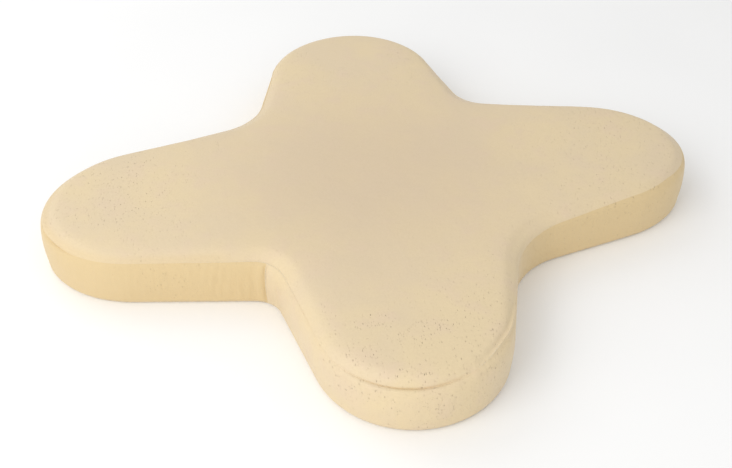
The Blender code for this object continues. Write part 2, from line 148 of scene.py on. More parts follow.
# Zip
ZIP_HEIGHT = 22.5 * MM
ZIP_OPENING = 9 * MM
ZIP_RELIEF = 2.5 * MM          # how far the foam stands back behind the tapes
ZIP_REACH = 105 * MM
TAPE_TURN = 71.3
TAPE_STEPS = 140
TAPE_EDGE = 0.15 * MM          # from the zip's line to the tape
TAPE_WIDTH = 12.5 * MM
TAPE_DEPTH = 2.3 * MM
TAPE_CLOTH = 0.5 * MM
TAPE_CORD = 3.3 * MM           # from the zip's line to the cord woven into the tape
TAPE_CORD_RISE = 0.25 * MM
TAPE_CORD_WIDTH = 0.8 * MM
COIL_TURN = 66.0
COIL_PITCH = 1.1               # degrees
COIL_STEPS = 16
COIL_HALF_WIDTH = 2.5 * MM
COIL_OVERLAP = 0.9 * MM
COIL_THICKNESS = 1.1 * MM
COIL_WIRE = 0.33 * MM
COIL_LEAN = 0.22               # of the pitch
CHAIN_MIDDLE = 1.1 * MM
METAL_PARTS = ("zip_slider", "zip_pull", "zip_top_stop_upper", "zip_top_stop_lower", "zip_bottom_stop")
METAL_EDGE = 0.25 * MM

# Colours, as linear values
CREAM = (0.705, 0.572, 0.385)
CREAM_WARM = (0.735, 0.595, 0.376)
CREAM_PINK = (0.712, 0.558, 0.400)
CREAM_DARK = (0.57, 0.45, 0.29)
# Painted shade: the darker colour painted on the dished middle of the top
CREAM_PAINTED_SHADE = (0.63, 0.50, 0.345)
CREAM_SIDE = (0.68, 0.52, 0.285)
PIT = (0.45, 0.29, 0.13)
THREAD_LIGHT = (0.78, 0.68, 0.50)
THREAD_DARK = (0.55, 0.46, 0.31)
TAPE_LIGHT = (0.72, 0.63, 0.46)
TAPE_DARK = (0.48, 0.40, 0.28)
NYLON_LIGHT = (0.75, 0.66, 0.49)
NYLON_DARK = (0.66, 0.56, 0.40)
METAL_BRIGHT = (0.64, 0.62, 0.58)
METAL_DULL = (0.56, 0.54, 0.50)
METAL_WORN = (0.80, 0.75, 0.66)
FIRM_LIGHT = (0.72, 0.72, 0.68)
FIRM_DARK = (0.45, 0.45, 0.42)
SOFT_LIGHT = (0.86, 0.80, 0.62)
SOFT_DARK = (0.62, 0.55, 0.40)
FLOOR_LIGHT = (0.95, 0.95, 0.945)
FLOOR_SHADE = (0.93, 0.93, 0.925)

# Where the cover's looks change, as (from, to) in metres
NEAR_PITS = (-0.215, -0.13)    # y: pits crowd in front of the first, and less so up to the second
OUTER_PITS = (0.09, 0.24)      # distance from the middle: the other pits grow between the two
MIDDLE_PAINTED_SHADE = (0.02, 0.2)      # distance from the middle: painted shade of the dished top, darker up to the first
RIM_HEIGHT = (50.5 * MM, 46 * MM)
RIM_PLACE = (-0.12, -0.16)     # x: the left lobe's rim is yellower
RIGHT_YELLOW = (0.07, 0.13)    # x: the long side turns yellow on the right lobe
LEFT_YELLOW = (1.0, 0.0)       # x: the other side is yellow all along
PIT_STRETCH = (1, 0.35, 0.4)   # a pit is long from front to back and upwards
TOP_MARKS = (0.35, 1.6, 1)     # faint marks lie across the top, and run up the side
SIDE_MARKS = (1, 1, 0.16)

# Stage. A light is a name, azimuth, elevation, distance, size and power
WORLD_STRENGTH = 0.72
LIGHTS = (
    ("key", -55, 38, 1.8, 1.2, 12.5),
    ("front", 5, 22, 2.0, 1.5, 4.5),
    ("back_left", -140, 40, 1.8, 1.2, 5),
)
FLOOR_REACH = 6.0
FLOOR_DROP = 0.2 * MM          # below the cushion, so that the two never share a surface
CAMERA_SENSOR = 36             # millimetres, as is the lens
CAMERA_LENS = 49.18
CAMERA_DISTANCE = 0.9276
CAMERA_AZIMUTH = -9.2
CAMERA_ELEVATION = 40.2
CAMERA_TARGET = (-0.0119, -0.0285, 0)


# Plan

def unit(degrees):
    """The unit vector at an angle, or one for each of many."""
    angle = np.radians(degrees)
    return np.stack([np.cos(angle), np.sin(angle)], axis=-1)


def turned(points, degrees):
    """Points in the plan, turned about the middle."""
    c, s = unit(degrees)
    return points @ np.array([[c, s], [-s, c]])


def lobe_end(lobe):
    """Points and outward normals round a lobe's half-ellipse."""
    taper = math.radians(lobe.taper)
    limit = math.atan2(lobe.half_width * math.cos(taper), lobe.depth * math.sin(taper))
    t = np.linspace(-limit, limit, END_STEPS + 1)
    points = np.stack([lobe.reach + lobe.depth * (np.cos(t) - 1), lobe.half_width * np.sin(t)], axis=1)
    normals = np.stack([np.cos(t) / lobe.depth, np.sin(t) / lobe.half_width], axis=1)
    normals /= np.linalg.norm(normals, axis=1, keepdims=True)
    return turned(points, lobe.heading), turned(normals, lobe.heading)


def corner(before, after, radius):
    """Points and outward normals round the hollow corner between two flanks."""
    (pa, na), (pb, nb) = before, after
    centre = np.linalg.solve(np.array([na, nb]), [na @ pa + radius, nb @ pb + radius])
    start = math.degrees(math.atan2(na[1], na[0]))
    turn = math.degrees(math.acos(na @ nb))
    normals = unit(start - turn * np.linspace(0, 1, CORNER_STEPS + 1))
    return centre - normals * radius, normals


def plan():
    """The closed outline as arrays, the places of the upright seams, and the middle of the zip's arc."""
    ends = [lobe_end(lobe) for lobe in LOBES]
    runs = []
    for i, radius in enumerate(CORNER_RADII):
        after = ends[(i + 1) % len(ends)]
        bend = corner((ends[i][0][-1], ends[i][1][-1]), (after[0][0], after[1][0]), radius)
        runs += [ends[i], bend]
    points = np.concatenate([run[0] for run in runs])
    normals = np.concatenate([run[1] for run in runs])
    middle = (points.min(0) + points.max(0)) / 2
    points = points - middle
    steps = np.linalg.norm(np.roll(points, -1, axis=0) - points, axis=1)
    distance = np.concatenate([[0], np.cumsum(steps)])
    starts = np.cumsum([0] + [len(run[0]) for run in runs])
    join = distance[starts[2 * JOIN_CORNER + 1] + JOIN_STEP]
    limit = 90 - FAR.taper
    far_start = distance[starts[2 * LOBES.index(FAR)]]
    zip_ends = [far_start + math.radians(limit + side * ZIP_TURN) * FAR.depth for side in (-1, 1)]
    centre = (FAR.reach - FAR.depth) * unit(FAR.heading) - middle
    return points, normals, distance, join, zip_ends, centre


POINTS, NORMALS, DISTANCE, JOIN_PLACE, ZIP_PLACES, FAR_CENTRE = plan()
PERIMETER = DISTANCE[-1]


def outline_at(places):
    """Points and normals of the outline at distances along it."""
    places = np.mod(places, PERIMETER)
    closed_points = np.concatenate([POINTS, POINTS[:1]])
    closed_normals = np.concatenate([NORMALS, NORMALS[:1]])
    points = np.stack([np.interp(places, DISTANCE, closed_points[:, k]) for k in (0, 1)], axis=-1)
    normals = np.stack([np.interp(places, DISTANCE, closed_normals[:, k]) for k in (0, 1)], axis=-1)
    return points, normals / np.linalg.norm(normals, axis=-1, keepdims=True)


def with_height(flat, height):
    """Points in the plan or their normals, with one height or a height each."""
    height = np.broadcast_to(height, flat.shape[:-1])
    return np.concatenate([flat, height[..., None]], axis=-1)


def shrunk(ring, scale):
    """A ring of points, drawn in towards the middle of the cushion."""
    return ring * [scale, scale, 1]


def around(points, peaks, base=0.0):
    """An amount that varies with the heading from the middle of the cushion: a base, and peaks on it."""
    headings = np.degrees(np.arctan2(points[..., 1], points[..., 0])) % 360
    amount = base
    for height, heading, spread in peaks:
        away = (headings - heading + 180) % 360 - 180
        amount = amount + height * np.exp(-(away / spread) ** 2)
    return amount * MM


# Section

def smooth_line(knots, steps=24):
    """A Catmull-Rom curve through the knots, and the distance along it."""
    padded = np.concatenate([[2 * knots[0] - knots[1]], knots, [2 * knots[-1] - knots[-2]]])
    t = np.linspace(0, 1, steps, endpoint=False)[:, None]
    parts = []
    for a, b, c, d in zip(padded, padded[1:], padded[2:], padded[3:]):
        square = (2 * a - 5 * b + 4 * c - d) * t ** 2
        cube = (3 * b - a - 3 * c + d) * t ** 3
        parts.append(0.5 * (2 * b + (c - a) * t + square + cube))
    line = np.concatenate(parts + [knots[-1:]])
    return line, np.concatenate([[0], np.cumsum(np.linalg.norm(np.diff(line, axis=0), axis=1))])


SECTION_LINE, SECTION_RUN = smooth_line(np.array(SECTION) * MM)
SECTION_TOP = SECTION_RUN[-1]


def section_at(runs):
    """Distances in from the outline, and heights, at distances up the section."""
    return [np.interp(runs, SECTION_RUN, SECTION_LINE[:, k]) for k in (0, 1)]


def run_at_height(height):
    """Distance up the section to a height on the side or the shoulder."""
    return float(np.interp(height, SECTION_LINE[:, 1], SECTION_RUN))


def seam_run(points):
    """How far up the section the top seam lies. It wanders a little, as it was sewn."""
    course, runs = np.array(SEAM_COURSE).T
    headings = np.degrees(np.arctan2(points[..., 1], points[..., 0])) % 360
    return np.interp(headings, course, runs * MM, period=360)


def outer_face(places, runs):
    """Points and normals of the cover's outer face."""
    points, normals = outline_at(places)
    inset, height = section_at(runs)
    low_inset, low_height = section_at(runs - SLOPE_STEP)
    high_inset, high_height = section_at(runs + SLOPE_STEP)
    inward = high_inset - low_inset
    upward = high_height - low_height
    length = np.maximum(np.hypot(inward, upward), 1e-9)
    face = with_height(points - normals * inset[..., None], height)
    face_normals = with_height(normals * (upward / length)[..., None], inward / length)
    shoulder = np.exp(-((runs - SHOULDER_RUN) / SHOULDER_SPREAD) ** 2)
    stands_out = (around(points, CRISP) - around(points, SLACK)) * shoulder
    return face + face_normals * stands_out[..., None], face_normals


# Meshes

def grid_faces(rows, columns, closed):
    """The four-sided faces of a grid of points, counted row by row."""
    faces = []
    for r in range(rows - 1):
        for c in range(columns if closed else columns - 1):
            d = (c + 1) % columns
            faces.append((r * columns + c, r * columns + d, (r + 1) * columns + d, (r + 1) * columns + c))
    return faces


def new_object(name, vertices, faces, material):
    """A smooth mesh object in the scene."""
    mesh = bpy.data.meshes.new(name)
    mesh.from_pydata([tuple(v) for v in vertices], [], faces)
    mesh.shade_smooth()
    if material:
        mesh.materials.append(material)
    obj = bpy.data.objects.new(name, mesh)
    bpy.context.scene.collection.objects.link(obj)
    return obj


def grid_object(name, grid, material, closed=False, pole=None, foot=None):
    """A surface through a grid of points. A pole closes the last row, and a foot the first."""
    rows, columns = grid.shape[:2]
    vertices = list(grid.reshape(-1, 3))
    faces = grid_faces(rows, columns, closed)
    if pole is not None:
        last = (rows - 1) * columns
        faces += [(last + c, last + (c + 1) % columns, len(vertices)) for c in range(columns)]
        vertices.append(pole)
    if foot is not None:
        faces += [((c + 1) % columns, c, len(vertices)) for c in range(columns)]
        vertices.append(foot)
    return new_object(name, vertices, faces, material)


def thicken(obj, thickness):
    """Gives a sheet its cloth's thickness, inwards. Its cut edges are sharp."""
    uses = Counter(key for polygon in obj.data.polygons for key in polygon.edge_keys)
    for edge in obj.data.edges:
        edge.use_edge_sharp = uses[edge.key] == 1
    modifier = obj.modifiers.new("cloth", "SOLIDIFY")
    modifier.thickness = thickness
    modifier.offset = -1
    return obj


def tube(name, path, radius, material, sides=8, closed=False):
    """A round cord along a path of points. The radius is one number, or one for each point."""
    path = np.asarray(path, float)
    ahead = np.roll(path, -1, axis=0)
    behind = np.roll(path, 1, axis=0)
    if not closed:
        ahead[-1] = path[-1]
        behind[0] = path[0]
    tangent = ahead - behind
    tangent /= np.linalg.norm(tangent, axis=1, keepdims=True)
    reference = np.where(np.abs(tangent[:, 2:]) > 0.8, [[1.0, 0, 0]], [[0, 0, 1.0]])
    side = np.cross(tangent, reference)
    side /= np.linalg.norm(side, axis=1, keepdims=True)
    other = np.cross(side, tangent)
    ring = unit(np.linspace(0, 360, sides, endpoint=False))[None, :, :, None]
    radii = np.broadcast_to(radius, len(path))[:, None, None]
    rings = path[:, None] + radii * (ring[:, :, 0] * side[:, None] + ring[:, :, 1] * other[:, None])
    count = len(path)
    faces = []
    for i in range(count if closed else count - 1):
        a = i * sides
        b = (i + 1) % count * sides
        faces += [(a + j, b + j, b + (j + 1) % sides, a + (j + 1) % sides) for j in range(sides)]
    if not closed:
        faces += [tuple(range(sides)), tuple(range((count - 1) * sides, count * sides))[::-1]]
    return new_object(name, rings.reshape(-1, 3), faces, material)


def ripple(points, scale, seed):
    """Smooth noise at points, about -1 to 1."""
    flat = points.reshape(-1, 3) / scale
    values = [noise.noise(Vector((x + seed, y, z))) for x, y, z in flat]
    return np.array(values).reshape(points.shape[:-1])


def blurred(values, passes):
    """Averages a grid that is closed along its rows with its neighbours."""
    for _ in range(passes):
        values = (values + 0.5 * (np.roll(values, 1, axis=1) + np.roll(values, -1, axis=1))) / 2
        padded = np.concatenate([values[:1], values, values[-1:]])
        values = (values + 0.5 * (padded[:-2] + padded[2:])) / 2
    return values


# Cloth simulation of the stuffed cover

LIFT_PLACES = np.linspace(0, PERIMETER, 340, endpoint=False)
LIFT_RUNS = np.linspace(0, SECTION_TOP, 30)


def cover_form():
    """The whole cover as one closed form of even voxels, a little smaller than the real one."""
    places = np.arange(0, PERIMETER, SIM_STEP)[:-1]
    face, normals = outer_face(*np.meshgrid(places, np.linspace(0, SECTION_TOP, SIM_ROWS)))
    face = face - normals * SIM_INSET
    grid = np.concatenate([face] + [shrunk(face[-1], scale)[None] for scale in LID_SCALES])
    pole = (0, 0, grid[-1, 0, 2])
    foot = (0, 0, grid[0, 0, 2])
    form = grid_object("cover_form", grid, None, closed=True, pole=pole, foot=foot)
    bpy.context.view_layer.objects.active = form
    remesh = form.modifiers.new("remesh", "REMESH")
    remesh.mode = "VOXEL"
    remesh.voxel_size = SIM_STEP
    bpy.ops.object.modifier_apply(modifier=remesh.name)
    return form


def swollen_cover():
    """The cover swollen by its filling, as a tree to measure against."""
    form = cover_form()
    before = np.array([v.co for v in form.data.vertices])
    cloth = form.modifiers.new("cloth", "CLOTH")
    cloth.settings.quality = 5
    cloth.settings.mass = 0.3
    cloth.settings.use_pressure = True
    cloth.settings.uniform_pressure_force = 4
    cloth.settings.effector_weights.gravity = 0
    cloth.settings.tension_stiffness = 25
    cloth.settings.bending_stiffness = 2
    cloth.point_cache.frame_start = 1
    cloth.point_cache.frame_end = SIM_FRAMES
    scene = bpy.context.scene
    for number in range(1, SIM_FRAMES + 1):
        scene.frame_set(number)
    evaluated = form.evaluated_get(bpy.context.evaluated_depsgraph_get())
    move = np.array([v.co for v in evaluated.to_mesh().vertices]) - before
    length = np.linalg.norm(move, axis=1, keepdims=True)
    move *= np.minimum(1, SIM_CAP / np.maximum(length, 1e-9))
    faces = [tuple(p.vertices) for p in form.data.polygons]
    tree = BVHTree.FromPolygons([Vector(v) for v in before + move], faces)
    form.modifiers.clear()
    bpy.data.objects.remove(form)
    scene.frame_set(1)
    return tree


def swelling(tree):
    """How far the simulated cover stands off the drawn face, on a grid of places and runs."""
    places, runs = np.meshgrid(LIFT_PLACES, LIFT_RUNS)
    if tree is None:
        return np.zeros(places.shape)
    face, normals = outer_face(places, runs)
    offsets = []
    for point, normal in zip(face.reshape(-1, 3), normals.reshape(-1, 3)):
        start = Vector(point - normal * LIFT_REACH)
        hit = tree.ray_cast(start, Vector(normal), 2 * LIFT_REACH)[3]
        offsets.append(hit - LIFT_REACH if hit is not None else 0)
    lift = blurred(np.array(offsets).reshape(places.shape), 3)
    return np.clip(lift - np.median(lift), *LIFT_LIMITS)


def lift_at(lift, places, runs):
    """The swelling at places and runs, between the points of its grid."""
    column = np.mod(places, PERIMETER) / PERIMETER * len(LIFT_PLACES)
    row = np.clip(runs / SECTION_TOP * (len(LIFT_RUNS) - 1), 0, len(LIFT_RUNS) - 1.001)
    c, r = np.floor(column).astype(int), np.floor(row).astype(int)
    across, up = column - c, row - r
    c, d = c % len(LIFT_PLACES), (c + 1) % len(LIFT_PLACES)
    lower = lift[r, c] * (1 - across) + lift[r, d] * across
    upper = lift[r + 1, c] * (1 - across) + lift[r + 1, d] * across
    return lower * (1 - up) + upper * up


# Cover

def bell(distance, height, width):
    """A bell-shaped rise of this height, by distance from its middle."""
    return height * np.exp(-(distance / width) ** 2)


def at_top_seam(points, distance, spread):
    """How the cloth lies beside the top seam. The crease is sharp only at the front of the near lobe."""
    depth = around(points, SEAM_CREASE, 0.02)
    height = around(points, SEAM_RIDGE)
    fold = bell(distance, depth, spread) + bell(distance, 0.5 * depth, PINCH_WIDTH)
    hollow = bell(distance - RIDGE_HOLLOW, 0.6 * height, RIDGE_HOLLOW_WIDTH)
    return bell(distance, height, PINCH_WIDTH) - hollow - fold


def at_upright_seam(distance, from_edge):
    """How the cloth lies beside an upright seam. It closes up towards the top and bottom seams."""
    fold = bell(distance, UPRIGHT_FOLD, UPRIGHT_FOLD_WIDTH)
    swell = bell(distance - UPRIGHT_SWELL_PLACE, UPRIGHT_SWELL, UPRIGHT_SWELL_WIDTH)
    return (swell - fold) * (1 - bell(from_edge, 1, UPRIGHT_CLOSING))


def gathers(points, places, distance):
    """Small gathers that run away from the top seam where the cloth was eased into it."""
    narrow = np.sin(places / (1.5 * MM) + 2.2 * np.sin(places / (9 * MM)))
    wave = 0.6 * narrow + 0.4 * np.sin(places / (2.6 * MM))
    fade = np.exp(-distance / (6 * MM)) * (1 - np.exp(-distance / (1.2 * MM)))
    return around(points, GATHERS, 0.02) * wave * fade


def wrinkles(points, places):
    """Fine upright wrinkles in the side, mostly on the left lobe and near the hollow corners."""
    heights = points[..., 2]
    patchy = np.clip(0.6 + 1.8 * ripple(points * [1, 1, 0.5], 16 * MM, 3.0), 0, 1.6)
    drift = 3 * np.sin(places / (23 * MM)) + 1.5 * np.sin(heights / (9 * MM))
    wave = 0.6 * np.sin(places / (1.1 * MM) + drift) + 0.5 * np.sin(places / (1.9 * MM) - 1.4 * drift)
    middle = np.sin(np.clip(heights / (46 * MM), 0, 1) * np.pi)
    return around(points, WRINKLES, 0.03) * wave * patchy * middle


def sag(points):
    """How far the top dips towards its middle."""
    return DISH * np.exp(-(np.linalg.norm(points[..., :2], axis=-1) / DISH_SPREAD) ** 2)


def lengthwise(start, end):
    """Places along a piece of side, close together at its two seams."""
    near_seam = np.array(SEAM_STEPS) * MM
    inner = np.linspace(start + SEAM_MARGIN, end - SEAM_MARGIN, int((end - start) / SIDE_STEP))
    return np.concatenate([start + near_seam, inner, (end - near_seam)[::-1]])


def even_places(step=SIDE_STEP):
    """Places all round the outline."""
    return np.linspace(0, PERIMETER, int(PERIMETER / step), endpoint=False)


def top_panel(lift, material):
    """The crowned top, in rings from its seam to the middle."""
    places = even_places()
    edge = seam_run(outline_at(places)[0])
    share = np.linspace(0, 1, TOP_RINGS)[:, None] ** TOP_PACKING
    runs = edge + (SECTION_TOP - edge) * share
    places = np.broadcast_to(places, runs.shape)
    face, normals = outer_face(places, runs)
    away = runs - edge
    flat_share = np.clip(share * 1.6 - 0.6, 0, 1)
    raised = lift_at(lift, places, runs)
    raised = raised * (1 - flat_share) + raised[-1].mean() * flat_share
    raised = raised + gathers(face, places, away) + at_top_seam(face, away, TOP_FOLD_WIDTH)
    face = face + normals * raised[..., None]
    grid = np.concatenate([face] + [shrunk(face[-1], scale)[None] for scale in INNER_SCALES])
    calm = np.ones(grid.shape[:2])
    calm[:TOP_RINGS] = np.clip(away / TOP_CALM, 0, 1)
    flat = grid * [1, 1, 0]
    waves = sum(height * MM * ripple(flat, length * MM, seed) for height, length, seed in TOP_WAVES)
    grid[..., 2] += waves * calm - sag(grid)
    centre = (0, 0, float(grid[-1, :, 2].mean()))
    return thicken(grid_object("panel_top", grid, material, closed=True, pole=centre), CLOTH)


def bottom_panel(material):
    """The flat bottom, with its edge turned up to the seam."""
    points, normals = outline_at(even_places())
    rings = [with_height(points - normals * inset * MM, height * MM) for inset, height in BOTTOM_EDGE]
    rings += [shrunk(rings[-1], scale) for scale in INNER_SCALES[1::3]]
    grid = np.array(rings)[:, ::-1]
    return thicken(grid_object("panel_bottom", grid, material, closed=True, pole=(0, 0, 0)), CLOTH)


def side_piece(name, start, end, lift, material, low=None, high=None):
    """A length of the side between two upright seams. Low and high are an edge hemmed along the zip."""
    places = lengthwise(start, end)
    top = seam_run(outline_at(places)[0]) if high is None else run_at_height(high)
    bottom = 0 if low is None else run_at_height(low)
    even = np.linspace(0, 1, BAND_ROWS)[:, None]
    share = even - BAND_PACKING * np.sin(2 * np.pi * even) / (2 * np.pi)
    runs = np.broadcast_to(bottom + (top - bottom) * share, (BAND_ROWS, len(places)))
    places = np.broadcast_to(places, runs.shape)
    face, normals = outer_face(places, runs)
    raised = lift_at(lift, places, runs) * np.clip(runs / FLAT_RUN, 0, 1) + wrinkles(face, places)
    from_edge = np.full(runs.shape, np.inf)
    if high is None:
        raised += gathers(face, places, top - runs) + at_top_seam(face, top - runs, SIDE_FOLD_WIDTH)
        from_edge = top - runs
    else:
        raised -= bell(top - runs, HEM_ROLL, HEM_ROLL_WIDTH)
    if low is None:
        raised -= bell(runs, BOTTOM_FOLD, BOTTOM_FOLD_WIDTH)
        from_edge = np.minimum(from_edge, runs - bottom)
    else:
        raised -= bell(runs - bottom, HEM_ROLL, HEM_ROLL_WIDTH)
    raised += at_upright_seam(np.minimum(places - start, end - places), from_edge)
    return thicken(grid_object(name, face + normals * raised[..., None], material), CLOTH)


# Seams and zip

def stitched(places):
    """The thread's radius along a seam: it swells on each stitch and dips between two."""
    return THREAD * (0.72 + 0.28 * np.abs(np.cos(np.pi * places / STITCH)))


def top_seam(lift, material):
    """The thread round the top panel, in the floor of its crease."""
    places = even_places(STITCH / 6)
    points = outline_at(places)[0]
    runs = seam_run(points)
    face, normals = outer_face(places, runs)
    raised = lift_at(lift, places, runs) + at_top_seam(points, np.zeros(len(places)), THREAD) - THREAD_SINK
    path = face + normals * raised[:, None]
    return tube("stitching_top", path, stitched(places), material, closed=True)


def bottom_seam(material):
    """The thread round the bottom panel."""
    places = even_places(STITCH / 4)
    points, normals = outline_at(places)
    inset, height = BOTTOM_SEAM
    path = with_height(points - normals * inset, height)
    return tube("stitching_bottom", path, stitched(places), material, sides=6, closed=True)


def upright_seam(name, place, lift, material):
    """The thread in the floor of an upright fold."""
    point = outline_at(np.array([place]))[0]
    runs = np.arange(THREAD_START, float(seam_run(point)[0]) - THREAD_STOP, STITCH / 8)
    places = np.full(len(runs), place)
    face, normals = outer_face(places, runs)
    depth = UPRIGHT_FOLD - lift_at(lift, places, runs)
    return tube(name, face - normals * depth[:, None], stitched(runs), material)


def on_arc(degrees, height, depth):
    """Points of the zip, by angle round the far lobe, height above its line and depth in from the side."""
    degrees, height, depth = np.broadcast_arrays(degrees, height, depth)
    flat = FAR_CENTRE + unit(FAR.heading + degrees) * (FAR.depth - depth)[..., None]
    return with_height(flat, ZIP_HEIGHT + height)


def zip_tape(name, side, material):
    """A strip of woven tape behind the opening, with a raised cord beside the coil."""
    turns = np.linspace(-TAPE_TURN, TAPE_TURN, TAPE_STEPS + 1)
    across = np.concatenate([np.linspace(TAPE_EDGE, 3.4 * MM, 8), np.linspace(4.2 * MM, TAPE_WIDTH, 8)])
    depth = TAPE_DEPTH - bell(across - TAPE_CORD, TAPE_CORD_RISE, TAPE_CORD_WIDTH)
    grid = on_arc(turns[None, :], side * across[:, None], depth[:, None])
    return thicken(grid_object(name, grid[::side], material), TAPE_CLOTH)


def zip_coil(name, side, material):
    """A nylon coil sewn along a tape. Its loops reach over the middle, between the other side's."""
    loops = int(2 * COIL_TURN / COIL_PITCH)
    shift = 0 if side > 0 else COIL_PITCH / 2
    turns = np.linspace(-COIL_TURN, COIL_TURN, loops * COIL_STEPS + 1) + shift
    phase = (turns + COIL_TURN) / COIL_PITCH * 2 * np.pi
    middle = (COIL_HALF_WIDTH - COIL_OVERLAP) / 2
    reach = (COIL_HALF_WIDTH + COIL_OVERLAP) / 2
    height = side * (middle - reach * np.cos(phase))
    depth = CHAIN_MIDDLE + COIL_THICKNESS / 2 * np.sin(phase)
    lean = COIL_PITCH * COIL_LEAN * np.sin(2 * phase)
    return tube(name, on_arc(turns + lean, height, depth), COIL_WIRE, material, sides=6)


def soften(obj, width):
    """Rounds the edges of a shown CAD part."""
    modifier = obj.modifiers.new("edges", "BEVEL")
    modifier.width = width
    modifier.segments = 3
    modifier.limit_method = "ANGLE"
    modifier.angle_limit = math.radians(30)
    modifier.harden_normals = True


# Foam

def foam_block(name, low, high, material):
    """A layer of the filling, a little inside the cover. The upper layer has the cover's crown."""
    places = even_places(FOAM_STEP)
    points, normals = outline_at(places)
    from_zip = (places - sum(ZIP_PLACES) / 2) / ZIP_REACH
    relief = ZIP_RELIEF * np.exp(-from_zip ** 8)[:, None]
    rings = []
    for height in np.linspace(low, high, 9):
        edge = float(np.interp(height, SECTION_LINE[:, 1], SECTION_LINE[:, 0]))
        rings.append(with_height(points - normals * (edge + FOAM_INSET + relief), height))
    foot = [shrunk(rings[0], scale) for scale in (0.3, 0.7)]
    crowned = high > FOAM_JOIN
    if crowned:
        for run in np.linspace(run_at_height(high + FOAM_INSET), SECTION_TOP, 7):
            face, face_normals = outer_face(places, np.full(len(places), run))
            rings.append(face - face_normals * FOAM_INSET)
    lid = [shrunk(rings[-1], scale) for scale in LID_SCALES]
    if crowned:
        for ring in lid:
            ring[:, 2] -= sag(ring)
    grid = np.array(foot + rings + lid)
    centre = (0, 0, float(grid[-1, :, 2].mean()))
    return grid_object(name, grid, material, closed=True, pole=centre, foot=(0, 0, low))


# Materials

class Looks:
    """A material under construction: short calls that add shader nodes and return their outputs."""

    def __init__(self, name):
        self.material = bpy.data.materials.new(name)
        self.material.use_nodes = True
        self.tree = self.material.node_tree
        self.shader = self.tree.nodes["Principled BSDF"]

    def node(self, kind, output, inputs, **settings):
        made = self.tree.nodes.new(kind)
        for key, value in settings.items():
            setattr(made, key, value)
        for key, value in inputs.items():
            self.set(made.inputs[key], value)
        return made.outputs[output]

    def set(self, socket, value):
        if isinstance(value, bpy.types.NodeSocket):
            self.tree.links.new(value, socket)
        elif socket.type == "RGBA":
            socket.default_value = (*value, 1)
        else:
            socket.default_value = value

    def finish(self, **values):
        for key, value in values.items():
            self.set(self.shader.inputs[key.replace("_", " ")], value)
        return self.material

    def place(self, stretch=(1, 1, 1)):
        raw = self.node("ShaderNodeTexCoord", "Object", {})
        return self.node("ShaderNodeVectorMath", "Vector", {0: raw, 1: stretch}, operation="MULTIPLY")

    def axis(self, place, name):
        return self.node("ShaderNodeSeparateXYZ", name, {0: place})

    def from_middle(self):
        flat = self.place((1, 1, 0))
        return self.node("ShaderNodeVectorMath", "Value", {0: flat}, operation="LENGTH")

    def noise(self, place, scale, detail=3.0, roughness=0.5):
        inputs = {"Vector": place, "Scale": scale, "Detail": detail, "Roughness": roughness}
        return self.node("ShaderNodeTexNoise", 0, inputs)

    def cells(self, place, scale, feature="F1"):
        inputs = {"Vector": place, "Scale": scale}
        return self.node("ShaderNodeTexVoronoi", "Distance", inputs, feature=feature)

    def stripes(self, place, scale, distortion, direction):
        inputs = {"Vector": place, "Scale": scale, "Distortion": distortion, "Detail": 2.0}
        return self.node("ShaderNodeTexWave", 0, inputs, bands_direction=direction)

    def remap(self, value, low, high, to_low=0.0, to_high=1.0):
        inputs = {"Value": value, "From Min": low, "From Max": high, "To Min": to_low, "To Max": to_high}
        return self.node("ShaderNodeMapRange", 0, inputs, interpolation_type="SMOOTHSTEP")

    def maths(self, operation, first, second):
        return self.node("ShaderNodeMath", 0, {0: first, 1: second}, operation=operation)

    def mixed(self, share, first, second):
        """Between two colours. The indices are the colour sockets of the Mix node."""
        return self.node("ShaderNodeMix", 2, {0: share, 6: first, 7: second}, data_type="RGBA")

    def bump(self, height, distance, strength=1.0, below=None):
        inputs = {"Height": height, "Distance": distance, "Strength": strength}
        if below is not None:
            inputs["Normal"] = below
        return self.node("ShaderNodeBump", 0, inputs)


def pits(looks, place, scale, radius, softness, amount):
    """Pits at random places. They show as 1 in the middle. Amount is a mask."""
    distance = looks.cells(place, scale)
    return looks.maths("MULTIPLY", looks.remap(distance, radius, radius * softness), amount)


def cover_pits(looks, place, patches):
    """Masks of large and fine pits. They crowd at the near end and thin out towards the middle."""
    crowd = looks.remap(looks.axis(place, "Y"), *NEAR_PITS, 1.0, 0.0)
    crowd = looks.maths("MULTIPLY", crowd, looks.remap(patches, 0.3, 0.6))
    clusters = looks.remap(looks.noise(place, 11, 2), 0.38, 0.58, 0.04, 0.75)
    outer = looks.remap(looks.from_middle(), *OUTER_PITS, 0.2, 1.0)
    amount = looks.maths("MAXIMUM", looks.maths("MULTIPLY", clusters, outer), crowd)
    long_place = looks.place(PIT_STRETCH)
    large = pits(looks, long_place, 430, 0.2, 0.05, amount)
    fine = pits(looks, long_place, 620, 0.26, 0.1, amount)
    return large, fine


def cover_yellow(looks, place, side_yellow):
    """How yellow the cloth is. The sides turn yellow along x, and the top only at the left lobe's rim."""
    along = looks.axis(place, "X")
    if side_yellow:
        return looks.remap(along, *side_yellow, 0.1, 1.0)
    rim = looks.remap(looks.axis(place, "Z"), *RIM_HEIGHT, 0.0, 0.45)
    return looks.maths("MULTIPLY", rim, looks.remap(along, *RIM_PLACE))


